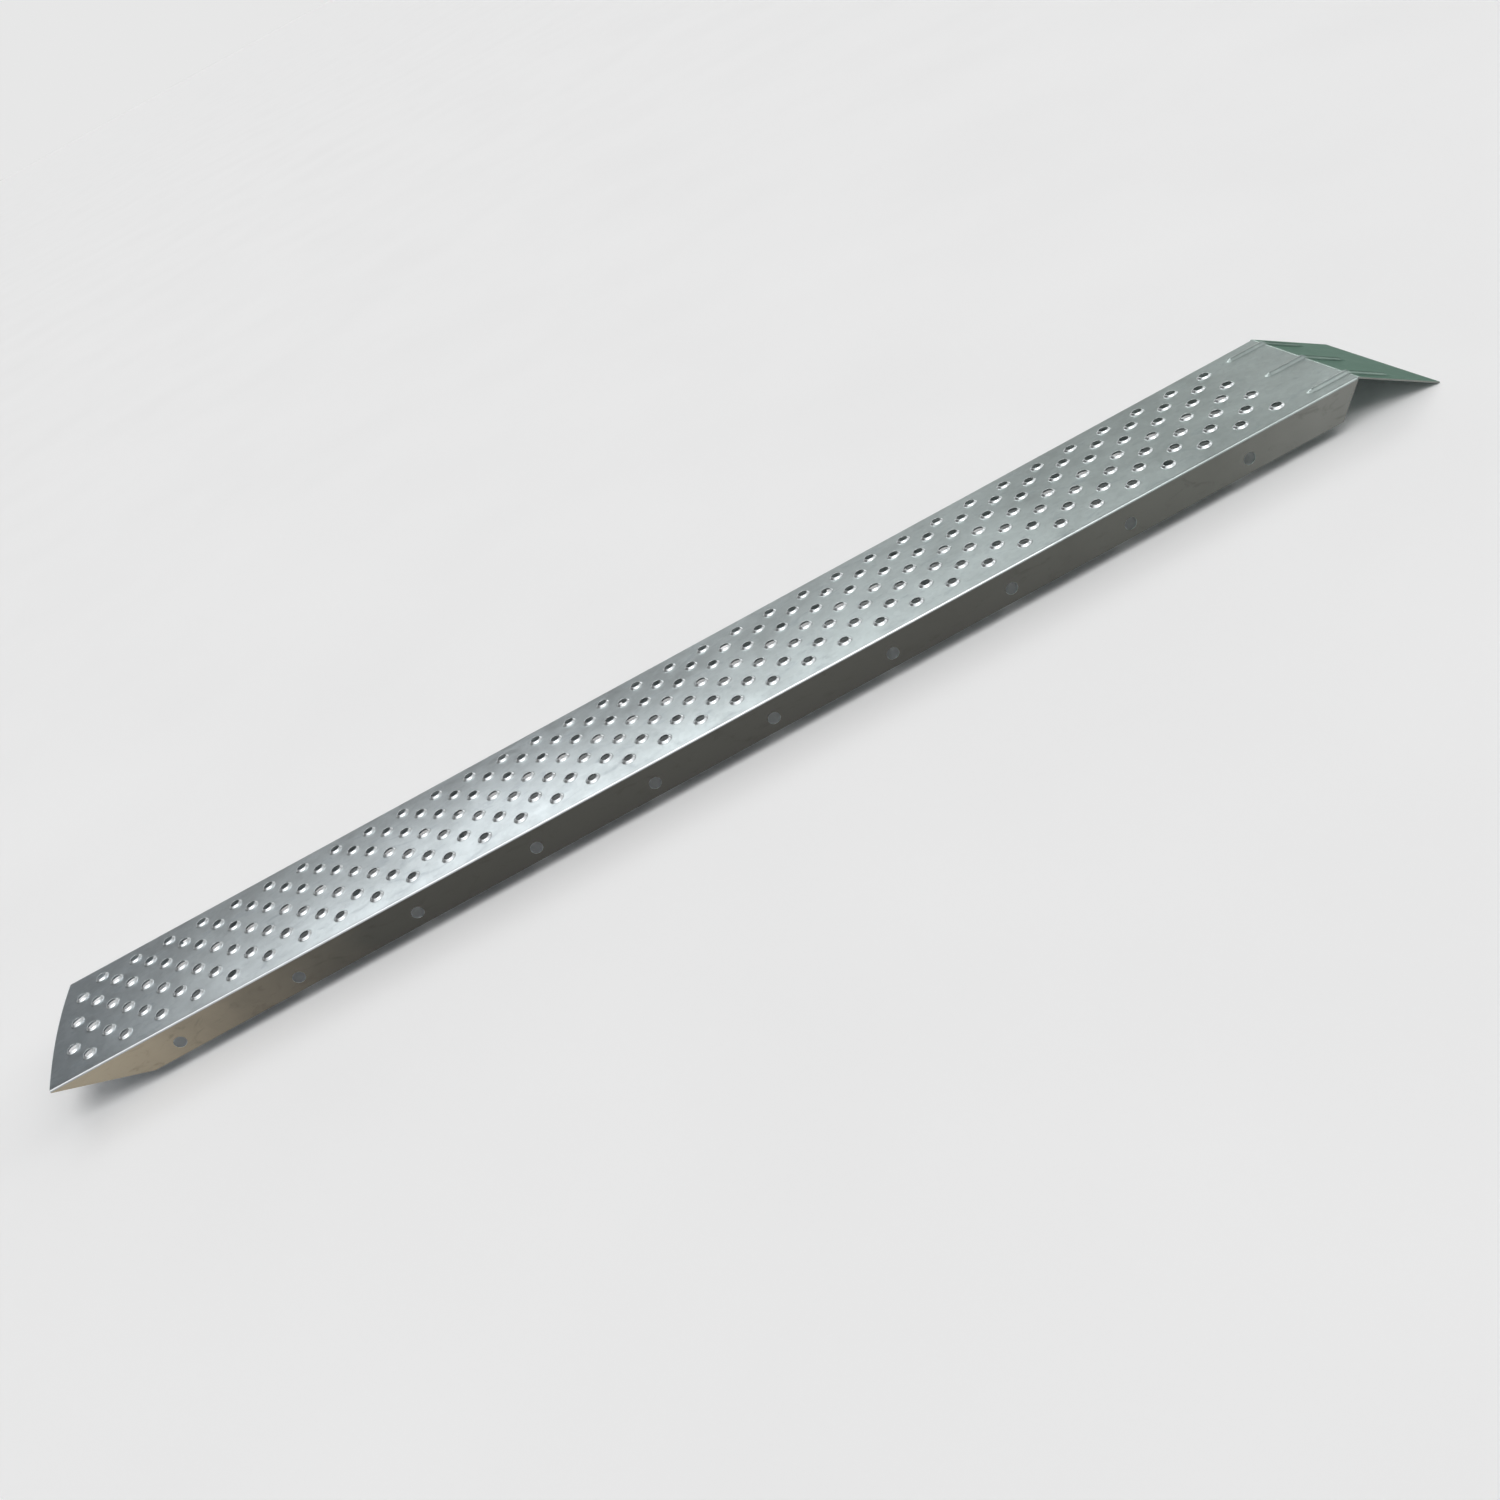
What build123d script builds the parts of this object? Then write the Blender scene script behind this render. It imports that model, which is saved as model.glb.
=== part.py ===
from build123d import *
from math import cos, degrees, radians, sin, tan
import os

os.makedirs("parts", exist_ok=True)

# ---------------------------------------------------------------------------
# Loading ramp folded from one galvanised steel sheet (millimetres).
# +X runs from the tapered foot up to the bent lip, +Y across, +Z up.
# The origin is the centre of the bounding box, on its bottom face, which is
# the level of the lip's lowest edge.
# ---------------------------------------------------------------------------

# folded sheet
deck_length = 1880.0        # foot corner to the fold line
deck_width = 230.0          # over the outside of the flanges
sheet = 2.0                 # sheet thickness
flange_height = 48.0        # deck edge to the flange's lower edge
bend_outer_radius = 3.5     # long bends between deck and flanges
crown = 4.0                 # rise of the deck's middle above its edges
foot_bulge = 3.0            # convex foot edge
foot_taper_length = 120.0   # lower edge rises to nothing at the foot
flange_end_slant = 31.0     # the flange's lip end leans back by this much

# lip
lip_length = 125.0          # along the slope, from the fold line
lip_angle = 31.0            # degrees below the deck
fold_outer_radius = 5.0

# raised anti-slip holes
hole_radius = 6.25
collar_height = 3.1
collar_base_radius = 12.7
collar_top_radius = 8.6
row_count = 68
first_row = 29.2            # from the foot corner
row_pitch = 26.2
column_pitch = 27.6

# round holes in the flanges
flange_hole_count = 10
flange_hole_radius = 8.5
flange_hole_pitch = 172.0
flange_hole_first = 169.0   # from the foot corner
flange_hole_drop = 28.4     # below the deck edge

# stiffening beads across the fold
bead_aside = 6.5            # outer beads, from the middle of the third land
bead_radius = 7.0
bead_height = 3.0
bead_bend_radius = 14.0
bead_on_deck = 54.0
bead_on_lip = 66.0

# flat-bar cross braces under the deck
brace_thickness = 3.0
brace_drop = 32.0           # deck edge to the brace's lower edge
brace_corner = 6.0

# weld beads
weld_leg = 4.0
flange_weld_length = 20.0
tack_length = 22.0

# ---------------------------------------------------------------------------
# derived positions
# ---------------------------------------------------------------------------
a = radians(lip_angle)
half = deck_width / 2
inner = half - sheet

# The deck is crowned: one flat land per column of holes, each land turned by
# one step from its neighbour, and an outer land along each edge.
edge_land = 4
step = 8 * crown / deck_width**2 * column_pitch
r_land = column_pitch / (2 * tan(step / 2))


def land_height(y, k, depth=0.0):
    """Height over the crown's centre of land k, depth below its top face."""
    return (r_land - depth - y * sin(k * step)) / cos(k * step)


z_deck_over_centre = land_height(half, edge_land)
rise = r_land - z_deck_over_centre
edge_thickness = z_deck_over_centre - land_height(half, edge_land, sheet)

lip_run = lip_length * cos(a)
lip_fall = lip_length * sin(a)
overall = foot_bulge + deck_length + lip_run + rise * sin(a)
x_foot = -overall / 2 + foot_bulge
x_fold = x_foot + deck_length
z_deck = lip_fall + edge_thickness * cos(a)     # deck's top edge level
z_bottom = z_deck - flange_height
z_centre = z_deck - z_deck_over_centre


def land_z(y, k, depth=0.0):
    return z_centre + land_height(y, k, depth)


def land_corners(depth):
    """Corners (y, z) between neighbouring lands, from -Y to +Y."""
    r = (r_land - depth) / cos(step / 2)
    return [(r * sin((k + 0.5) * step), z_centre + r * cos((k + 0.5) * step))
            for k in range(-edge_land, edge_land)]


def on_deck(x, column, aside=0.0, lift=0.0):
    """A frame on a land, aside from its middle, its Z along the land's normal."""
    t = column * step
    r = r_land + lift
    return Location((x, r * sin(t) + aside * cos(t),
                     z_centre + r * cos(t) - aside * sin(t)),
                    (-degrees(t), 0, 0))


perforations = []
for row in range(row_count):
    x = x_foot + first_row + row * row_pitch
    columns = (-2, 0, 2) if row % 2 == 0 else (-3, -1, 1, 3)
    for column in columns:
        perforations.append(on_deck(x, column))

flange_holes_x = [x_foot + flange_hole_first + i * flange_hole_pitch
                  for i in range(flange_hole_count)]

# each brace stands midway between two rows, between two flange holes
brace_rows = []
for i in range(flange_hole_count - 1):
    middle = flange_hole_first + (i + 0.5) * flange_hole_pitch
    brace_rows.append(round((middle - first_row) / row_pitch - 0.5))
brace_x = [x_foot + first_row + (row + 0.5) * row_pitch for row in brace_rows]

# ---------------------------------------------------------------------------
# tools for the raised holes
# ---------------------------------------------------------------------------
with BuildPart() as collar:
    with BuildSketch(Plane.XZ):
        with BuildLine():
            slope = (collar_base_radius - collar_top_radius) / collar_height
            foot = (collar_base_radius + 0.6 * slope, -0.6)
            shoulder = (collar_top_radius + 0.35 * slope, collar_height - 0.35)
            rim = (hole_radius - 1.5, collar_height)
            Polyline((0, -0.6), foot, shoulder)
            ThreePointArc(shoulder, (collar_top_radius - 0.45, collar_height - 0.06),
                          (collar_top_radius - 1.1, collar_height))
            Polyline((collar_top_radius - 1.1, collar_height), rim,
                     (0, collar_height), (0, -0.6))
        make_face()
    revolve(axis=Axis.Z)

with BuildPart() as funnel:
    with BuildSketch(Plane.XZ):
        with BuildLine():
            Polyline((0, -sheet - 1.0), (collar_base_radius - 0.4, -sheet - 1.0),
                     (hole_radius, 1.9), (hole_radius, collar_height + 1.0),
                     (0, collar_height + 1.0), (0, -sheet - 1.0))
        make_face()
    revolve(axis=Axis.Z)

# ---------------------------------------------------------------------------
# a stiffening bead: the part above the sheet, and the groove under it
# (fold line at the origin, deck towards -X)
# ---------------------------------------------------------------------------
bead_depth = bead_radius - bead_height
bead_start = (-bead_on_deck + bead_radius, 0, -bead_depth)
bead_apex = (-bead_depth * tan(a / 2), 0, -bead_depth)
along = bead_on_lip - bead_radius
bead_end = (along * cos(a) - bead_depth * sin(a), 0,
            -along * sin(a) - bead_depth * cos(a))


with BuildPart() as bead_core:
    with BuildLine():
        FilletPolyline(bead_start, bead_apex, bead_end, radius=bead_bend_radius)
    with BuildSketch(Plane(origin=bead_start, z_dir=(1, 0, 0))):
        Circle(bead_radius)
    sweep()
    with Locations(bead_start, bead_end):
        Sphere(bead_radius)

with BuildPart() as bead:
    add(bead_core.part)
    # keep only what stands above the middle of the sheet
    with BuildSketch(Plane.XZ.offset(-20)) as cover:
        with BuildLine():
            low = 1.0
            Polyline((-bead_on_deck - 20, -low), (-low * tan(a / 2), -low),
                     (130 * cos(a) - low * sin(a), -130 * sin(a) - low * cos(a)),
                     (130 * cos(a) + 30 * sin(a), -130 * sin(a) + 30 * cos(a)),
                     (0, 40), (-bead_on_deck - 20, 40),
                     (-bead_on_deck - 20, -low))
        make_face()
    extrude(amount=40, mode=Mode.INTERSECT)

with BuildPart() as groove:
    with BuildLine():
        FilletPolyline(bead_start, bead_apex, bead_end, radius=bead_bend_radius)
    with BuildSketch(Plane(origin=bead_start, z_dir=(1, 0, 0))):
        Circle(bead_radius - sheet)
    sweep()
    with Locations(bead_start, bead_end):
        Sphere(bead_radius - sheet)

# ---------------------------------------------------------------------------
# ramp_channel: deck, flanges and lip in one folded sheet
# ---------------------------------------------------------------------------
tangent = fold_outer_radius * tan(a / 2)
x_bend = x_fold - tangent
deck_top = [(-half, z_deck)] + land_corners(0) + [(half, z_deck)]
deck_under = land_corners(sheet)[::-1]

with BuildPart() as ramp_channel:
    # crowned U section, foot to fold
    with BuildSketch(Plane(origin=(x_foot - foot_bulge, 0, 0),
                           x_dir=(0, 1, 0), z_dir=(1, 0, 0))) as section:
        z_inner = land_z(inner, edge_land, sheet)
        with BuildLine():
            Polyline((-half, z_bottom), *deck_top, (half, z_bottom),
                     (inner, z_bottom), (inner, z_inner), *deck_under,
                     (-inner, z_inner), (-inner, z_bottom), (-half, z_bottom))
        make_face()
        upper = section.vertices().filter_by(lambda v: v.Y > z_bottom + 20)
        outside = upper.filter_by(lambda v: abs(v.X) > half - 0.1)
        inside = upper.filter_by(lambda v: abs(abs(v.X) - inner) < 0.1)
        fillet(outside, bend_outer_radius)
        inside = section.vertices().filter_by(
            lambda v: abs(abs(v.X) - inner) < 0.01 and abs(v.Y - z_inner) < 0.01)
        fillet(inside, bend_outer_radius - sheet)
    extrude(amount=foot_bulge + x_bend - x_foot)

    # the fold, about an axis under the deck, and the lip beyond it
    def strip(plane):
        with BuildSketch(plane, mode=Mode.PRIVATE) as outline:
            with BuildLine():
                Polyline(*[(y, z - z_deck) for y, z in deck_top],
                         (half, -edge_thickness),
                         *[(y, z - z_deck) for y, z in deck_under],
                         (-half, -edge_thickness), (-half, 0))
            make_face()
        return outline.sketch

    revolve(strip(Plane(origin=(x_bend, 0, z_deck), x_dir=(0, 1, 0),
                        z_dir=(1, 0, 0))),
            axis=Axis((x_bend, 0, z_deck - fold_outer_radius), (0, 1, 0)),
            revolution_arc=lip_angle)
    lip_root = Plane(origin=(x_fold + tangent * cos(a), 0,
                             z_deck - tangent * sin(a)),
                     x_dir=(0, 1, 0), z_dir=(cos(a), 0, -sin(a)))
    extrude(strip(lip_root), amount=lip_length - tangent)

    # convex foot edge
    with BuildSketch(Plane.XY.offset(z_bottom - 10)) as foot_trim:
        with BuildLine():
            ThreePointArc((x_foot, -half), (x_foot - foot_bulge, 0), (x_foot, half))
            Polyline((x_foot, half), (x_foot, half + 20), (x_foot - 30, half + 20),
                     (x_foot - 30, -half - 20), (x_foot, -half - 20), (x_foot, -half))
        make_face()
    extrude(amount=flange_height + 40, mode=Mode.SUBTRACT)

    # flanges tapered at the foot and leaned back under the fold
    with BuildSketch(Plane.XZ.offset(-half - 20)) as flange_trim:
        with BuildLine():
            Polyline((x_foot - 30, z_deck - bend_outer_radius + 0.6),
                     (x_foot, z_deck - bend_outer_radius + 0.6),
                     (x_foot + foot_taper_length, z_bottom),
                     (x_foot + foot_taper_length, z_bottom - 20),
                     (x_foot - 30, z_bottom - 20),
                     (x_foot - 30, z_deck - bend_outer_radius + 0.6))
        make_face()
        with BuildLine():
            Polyline((x_bend + 0.5, z_deck - bend_outer_radius),
                     (x_fold - flange_end_slant, z_bottom),
                     (x_fold - flange_end_slant, z_bottom - 20),
                     (x_bend + 0.5, z_bottom - 20),
                     (x_bend + 0.5, z_deck - bend_outer_radius))
        make_face()
    extrude(amount=deck_width + 40, mode=Mode.SUBTRACT)

    # round holes through both flanges
    with BuildSketch(Plane.XZ.offset(-half - 20)):
        with Locations(*[(x, z_deck - flange_hole_drop) for x in flange_holes_x]):
            Circle(flange_hole_radius)
    extrude(amount=deck_width + 40, mode=Mode.SUBTRACT)

    # beads across the fold
    bead_places = [on_deck(x_fold, 0), on_deck(x_fold, 3, bead_aside),
                   on_deck(x_fold, -3, -bead_aside)]
    with Locations(*bead_places):
        add(bead.part)
    with Locations(*bead_places):
        add(groove.part, mode=Mode.SUBTRACT)

    # raised anti-slip holes
    with Locations(*perforations):
        add(collar.part, clean=False)
    with Locations(*perforations):
        add(funnel.part, mode=Mode.SUBTRACT, clean=False)

ramp_channel.part.label = "ramp_channel"
export_step(ramp_channel.part, "parts/ramp_channel.step")

# ---------------------------------------------------------------------------
# cross braces: flat bar on edge, top edge follows the underside of the deck
# ---------------------------------------------------------------------------
with BuildPart() as brace:
    with BuildSketch(Plane.YZ.offset(-brace_thickness / 2)) as brace_face:
        with BuildLine():
            side = z_deck - sheet - brace_corner
            edge = inner - brace_corner
            low = z_deck - brace_drop
            z_edge = land_z(edge, edge_land, sheet)
            Polyline((-edge, z_edge), *land_corners(sheet), (edge, z_edge),
                     (inner, side), (inner, low), (-inner, low),
                     (-inner, side), (-edge, z_edge))
        make_face()
    extrude(amount=brace_thickness)

for number, x in enumerate(brace_x, start=1):
    placed = brace.part.moved(Location((x, 0, 0)))
    placed.label = f"cross_brace_{number}"
    export_step(placed, f"parts/cross_brace_{number}.step")

# ---------------------------------------------------------------------------
# weld beads: convex fillets on the foot side of each brace
# ---------------------------------------------------------------------------
with BuildPart() as upright_weld:
    # corner of the fillet at the origin, legs along -X and +Y, upright
    with BuildSketch(Plane.XY) as fillet_face:
        with BuildLine():
            Line((0, 0), (-weld_leg, 0))
            ThreePointArc((-weld_leg, 0), (-weld_leg * 0.56, weld_leg * 0.56),
                          (0, weld_leg))
            Line((0, weld_leg), (0, 0))
        make_face()
    extrude(amount=flange_weld_length)

weld_low = z_deck - brace_drop + 2.5
for side_name, sign in (("left", 1), ("right", -1)):
    with BuildPart() as flange_welds:
        for x in brace_x:
            corner_x = x - brace_thickness / 2
            spot = Plane(origin=(corner_x, sign * inner, weld_low))
            piece = (upright_weld.part if sign < 0
                     else upright_weld.part.mirror(Plane.XZ))
            add(piece.moved(spot.location))
    flange_welds.part.label = f"brace_welds_{side_name}"
    export_step(flange_welds.part, f"parts/brace_welds_{side_name}.step")

with BuildPart() as tack_weld:
    # legs along -X and -Z, length along Y
    with BuildSketch(Plane.XZ.offset(-tack_length / 2)) as tack_face:
        with BuildLine():
            Line((0, 0), (-weld_leg, 0))
            ThreePointArc((-weld_leg, 0), (-weld_leg * 0.56, -weld_leg * 0.56),
                          (0, -weld_leg))
            Line((0, -weld_leg), (0, 0))
        make_face()
    extrude(amount=tack_length)

with BuildPart() as deck_welds:
    for row, x in zip(brace_rows, brace_x):
        # the row on the foot side of the brace has three or four holes
        spots = ((-1, 1) if row % 2 == 0 else (-2, 0, 2))
        for column in spots:
            seat = on_deck(x - brace_thickness / 2, column, lift=-sheet)
            add(tack_weld.part.moved(seat))
deck_welds.part.label = "brace_welds_deck"
export_step(deck_welds.part, "parts/brace_welds_deck.step")

print("overall", round(overall, 2), "z_deck", round(z_deck, 2),
      "holes", len(perforations), "braces", [round(x, 1) for x in brace_x])
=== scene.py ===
import math
import random

import bpy
import numpy as np
from mathutils import Matrix, Vector
from mathutils.geometry import delaunay_2d_cdt


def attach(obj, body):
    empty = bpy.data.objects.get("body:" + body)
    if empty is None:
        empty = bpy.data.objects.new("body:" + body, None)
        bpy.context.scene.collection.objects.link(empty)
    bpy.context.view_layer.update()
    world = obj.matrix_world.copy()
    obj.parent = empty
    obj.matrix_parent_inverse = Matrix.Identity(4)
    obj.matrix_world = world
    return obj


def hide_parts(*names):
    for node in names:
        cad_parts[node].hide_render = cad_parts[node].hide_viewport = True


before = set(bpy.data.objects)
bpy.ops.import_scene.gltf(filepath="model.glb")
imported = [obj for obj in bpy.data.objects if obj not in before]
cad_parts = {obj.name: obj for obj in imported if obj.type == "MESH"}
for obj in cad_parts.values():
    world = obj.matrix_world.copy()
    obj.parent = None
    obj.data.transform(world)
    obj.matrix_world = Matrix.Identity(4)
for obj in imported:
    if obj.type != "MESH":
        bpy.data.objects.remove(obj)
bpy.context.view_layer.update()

SIN, COS, PI = math.sin, math.cos, math.pi

# ---------------------------------------------------------------------------
# sizes, in millimetres, as in the CAD part
# ---------------------------------------------------------------------------
DECK_L, DECK_W, SHEET, FLANGE_H = 1880.0, 230.0, 2.0, 48.0
BEND_R, CROWN, BULGE = 3.5, 4.0, 3.0
TAPER, SLANT = 120.0, 31.0
LIP, LIP_A, FOLD_R = 125.0, math.radians(31.0), 5.0
ROWS, ROW0, ROW_P, COL_P = 68, 29.2, 26.2, 27.6
HOLE_R = 6.25
FH_N, FH_R, FH_P, FH_0, FH_DROP = 10, 8.5, 172.0, 169.0, 28.4
BEAD_ASIDE, BEAD_H, BEAD_DECK, BEAD_LIP = 6.5, 3.0, 54.0, 66.0
HALF, INNER = DECK_W / 2, DECK_W / 2 - SHEET
STEP = 8 * CROWN / DECK_W**2 * COL_P
R_LAND = COL_P / (2 * math.tan(STEP / 2))


def land_height(y, k, depth=0.0):
    return (R_LAND - depth - y * SIN(k * STEP)) / COS(k * STEP)


ZDC = land_height(HALF, 4)
RISE = R_LAND - ZDC
EDGE_T = ZDC - land_height(HALF, 4, SHEET)
OVERALL = BULGE + DECK_L + LIP * COS(LIP_A) + RISE * SIN(LIP_A)
X0 = -OVERALL / 2 + BULGE
XF = X0 + DECK_L
ZD = LIP * SIN(LIP_A) + EDGE_T * COS(LIP_A)
ZB = ZD - FLANGE_H
ZC = ZD - ZDC
TANGENT = FOLD_R * math.tan(LIP_A / 2)
XB = XF - TANGENT
R = R_LAND + 0.02                       # the smooth crown the lands stand for
SIN_E = (HALF - BEND_R) / (R - BEND_R)
TH_E = math.asin(SIN_E)                 # where the crown runs into the long bend
V_E = R * TH_E
Z_BEND = ZC + (R - BEND_R) * COS(TH_E)  # centre of the long bends
V_LIP = R * math.asin(HALF / R)         # the lip's own edge
BRACE_T, BRACE_DROP = 3.0, 32.0
EDGE_R = 0.3                            # softened sheared edges
brace_rows = [round((FH_0 + (i + 0.5) * FH_P - ROW0) / ROW_P - 0.5) for i in range(FH_N - 1)]
brace_x = [X0 + ROW0 + (r + 0.5) * ROW_P for r in brace_rows]


# ---------------------------------------------------------------------------
# mesh building: points with a normal each, and faces that name them
# ---------------------------------------------------------------------------
class Skin:
    def __init__(self):
        self.co, self.no, self.faces, self.loops = [], [], [], []

    def point(self, p, n):
        self.co.append(p)
        self.no.append(n)
        return len(self.co) - 1

    def face(self, ids, normals=None):
        self.faces.append(tuple(ids))
        self.loops.extend(normals if normals is not None else [self.no[i] for i in ids])

    def object(self, name, material):
        me = bpy.data.meshes.new(name)
        co = np.array(self.co, np.float64) / 1000.0
        me.from_pydata([tuple(c) for c in co], [], self.faces)
        me.update()
        me.shade_smooth()
        me.normals_split_custom_set([tuple(n) for n in self.loops])
        me.update()
        ob = bpy.data.objects.new(name, me)
        bpy.context.scene.collection.objects.link(ob)
        me.materials.append(material)
        return ob


def unit(v):
    v = np.asarray(v, float)
    return v / max(np.linalg.norm(v), 1e-12)


# ---------------------------------------------------------------------------
# where the developed sheet lies: u along it from the foot, v across its crown
# ---------------------------------------------------------------------------
U_BEND = XB - X0
PHI_U = FOLD_R                          # developed length of a radian of the fold
U_LIP = U_BEND + LIP_A * PHI_U
U_END = U_LIP + LIP - TANGENT


def crown_at(v):
    """(y, z over the deck's edge level, normal y, normal z) on the crown."""
    t = v / R
    return R * SIN(t), ZC + R * COS(t) - ZD, SIN(t), COS(t)


FADE_A, FADE_B = U_BEND - 220.0, U_LIP + 30.0     # the crown dies out toward the fold
C_EDGE = Z_BEND + BEND_R * COS(TH_E) - ZD


def crown_share(u):
    """How much of the crown is left at u, and its slope."""
    if u <= FADE_A:
        return 1.0, 0.0
    if u >= FADE_B:
        return 0.0, 0.0
    t = (u - FADE_A) / (FADE_B - FADE_A)
    return 1 - t * t * (3 - 2 * t), -6 * t * (1 - t) / (FADE_B - FADE_A)


def place(u, v):
    """Point and frame on the top face: position, along, across, normal."""
    y, c, ny, nz = crown_at(v)
    k, dk = crown_share(u)
    rise, c = dk * (c - C_EDGE), C_EDGE + k * (c - C_EDGE)
    across = unit((0.0, nz, -ny * k))
    along = unit((1.0, 0.0, rise))
    normal = unit(np.cross(along, across))
    if u <= U_BEND:
        return np.array([X0 + u, y, ZD + c]), along, across, normal
    f = min((u - U_BEND) / PHI_U, LIP_A)
    s = max(u - U_LIP, 0.0)
    r = FOLD_R + c
    p = np.array([XB + r * SIN(f) + s * COS(f), y,
                  ZD - FOLD_R + r * COS(f) - s * SIN(f)])
    turn = lambda w: np.array([w[0] * COS(f) + w[2] * SIN(f), w[1],
                               -w[0] * SIN(f) + w[2] * COS(f)])
    return p, turn(along), turn(across), turn(normal)


BEADS = [(0.0, 0.0), (1.0, 3 * COL_P + BEAD_ASIDE), (2.0, -3 * COL_P - BEAD_ASIDE)]
BEAD_R, BEAD_FADE = 5.2, 8.0


def bead_height(u, v):
    """Raised beads over the fold, as a height over the sheet."""
    mid = (U_BEND + U_LIP) / 2
    a, b = mid - BEAD_DECK + BEAD_R, mid + BEAD_LIP - BEAD_R - 6
    h = 0.0
    for _, vb in BEADS:
        du = max(a - u, 0.0, u - b)
        if u > b:
            du *= 0.55                  # the lip end runs out gently
        d = math.hypot(du, v - vb)
        if d < BEAD_FADE:
            t = d / BEAD_FADE
            # round crest, concave run-out at its foot
            h = max(h, BEAD_H * (0.5 + 0.5 * COS(PI * t)) ** 0.85)
    return h


def placed(u, v, extra=0.0):
    """A point on the sheet's top with the beads raised, and its normal."""
    p, eu, ev, n = place(u, v)
    h = bead_height(u, v)
    if h > 0 or any(abs(v - vb) < BEAD_FADE + 1 for _, vb in BEADS) and u > U_BEND - 70:
        e = 0.05
        hu = (bead_height(u + e, v) - bead_height(u - e, v)) / (2 * e)
        hv = (bead_height(u, v + e) - bead_height(u, v - e)) / (2 * e)
        n2 = unit(n - hu * eu - hv * ev)
    else:
        n2 = n
    return p + n * h, n2


sheet = Skin()
outer_faces = []                        # faces of paired points, for the rim
pair_in = {}                            # top point -> its partner underneath


def pair(p, n):
    o = sheet.point(p, n)
    i = sheet.point(p - SHEET * n, -n)
    pair_in[o] = i
    return o


def both(ids):
    """A face on top and the same one underneath."""
    sheet.face(ids)
    sheet.face([pair_in[i] for i in reversed(ids)])
    outer_faces.append(tuple(ids))


def strip(low, high):
    """Triangles between two lines of points, the denser one shared out to the
    ends of the other, so that no face has corners in a straight line."""
    if len(low) == 2:
        m = len(high) // 2
        both((low[0], low[1], high[m]))
        for k in range(len(high) - 1):
            both((low[0] if k < m else low[1], high[k + 1], high[k]))
    else:
        m = len(low) // 2
        both((low[m], high[1], high[0]))
        for k in range(len(low) - 1):
            both((low[k], low[k + 1], high[0] if k < m else high[1]))


# --- the raised holes --------------------------------------------------------
SEG = 24
# radius, height, and slope of the profile (normal leaning outward, upward)
TOP = [(10.7, 0.0, 0.0, 1.0), (9.8, 0.22, 0.40, 0.915), (8.85, 1.05, 0.72, 0.69),
       (7.95, 2.13, 0.73, 0.68), (7.25, 2.80, 0.60, 0.80), (6.85, 3.04, 0.15, 0.99),
       (6.5, 2.98, -0.55, 0.83)]
LOW = [(10.2, -2.0, -0.2, -0.98), (8.3, -0.85, -0.69, -0.72), (6.55, 1.7, -0.84, -0.54)]
HOLE_TOP, HOLE_LOW = (6.25, 2.72), (6.25, 2.10)
SIDE = SEG // 4                         # points along each side of a tile


def tile_ring(ids_of_corner_order):
    return ids_of_corner_order


def add_hole(u, v, border):
    """border: the tile's paired points, counter-clockwise from the ray at
    -45 degrees (the corner at +u, -v)."""
    angles = [-PI / 4 + 2 * PI * k / SEG for k in range(SEG)]

    def ring(r, h, nr, nz, under=False):
        ids = []
        for t in angles:
            du, dv = r * COS(t), r * SIN(t)
            p, eu, ev, n = place(u + du, v + dv)
            ids.append(sheet.point(p + n * h, unit(nr * (eu * COS(t) + ev * SIN(t)) + nz * n)))
        return ids

    rings = [border] + [ring(*s) for s in TOP] + [ring(*HOLE_TOP, -1.0, 0.15)]
    for a, b in zip(rings, rings[1:]):
        for k in range(SEG):
            j = (k + 1) % SEG
            sheet.face((a[k], a[j], b[j], b[k]))
    lows = [[pair_in[i] for i in border]] + [ring(*s) for s in LOW] + [ring(*HOLE_LOW, -1.0, -0.15)]
    for a, b in zip(lows, lows[1:]):
        for k in range(SEG):
            j = (k + 1) % SEG
            sheet.face((a[j], a[k], b[k], b[j]))
    a, b = rings[-1], lows[-1]
    for k in range(SEG):
        j = (k + 1) % SEG
        sheet.face((a[k], a[j], b[j], b[k]))


# --- the lattice of tiles ----------------------------------------------------
points = {}


def at(u, v):
    key = (round(u, 3), round(v, 3))
    if key not in points:
        points[key] = pair(*placed(u, v))
    return points[key]


tile_v = [(-3.5 + i) * COL_P for i in range(8)]          # tile borders across
V_T = round(tile_v[-1], 6)
fine = [round(-V_T + i * COL_P / SIDE, 6) for i in range(7 * SIDE + 1)]
U_A = ROW0 - ROW_P / 2                                   # where the rows begin
U_Z = ROW0 + (ROWS - 0.5) * ROW_P                        # and where they end

for row in range(ROWS):
    u_c = ROW0 + row * ROW_P
    u_lo, u_hi = u_c - ROW_P / 2, u_c + ROW_P / 2
    us = [u_lo + ROW_P * i / SIDE for i in range(SIDE + 1)]
    for col in range(-3, 4):
        v_c = col * COL_P
        v_lo = v_c - COL_P / 2
        vs = [v_lo + COL_P * i / SIDE for i in range(SIDE + 1)]
        if (col % 2 == 0) == (row % 2 == 0):
            border = ([at(u_hi, w) for w in vs[:-1]] + [at(w, vs[-1]) for w in us[:0:-1]]
                      + [at(u_lo, w) for w in vs[:0:-1]] + [at(w, v_lo) for w in us[:-1]])
            add_hole(u_c, v_c, border)
        else:
            for i in range(SIDE):
                low = [at(w, vs[0]) for w in us] if i == 0 else [at(u_lo, vs[i]), at(u_hi, vs[i])]
                high = ([at(w, vs[-1]) for w in us] if i == SIDE - 1
                        else [at(u_lo, vs[i + 1]), at(u_hi, vs[i + 1])])
                if 0 < i < SIDE - 1:
                    both(low + high[::-1])
                else:
                    strip(low, high)

# --- plain sheet before the first row, and from the last row to the lip ------
def foot_u(v):
    y = R * SIN(v / R)
    return -BULGE * (1 - (y / HALF) ** 2) + 0.2


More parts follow.
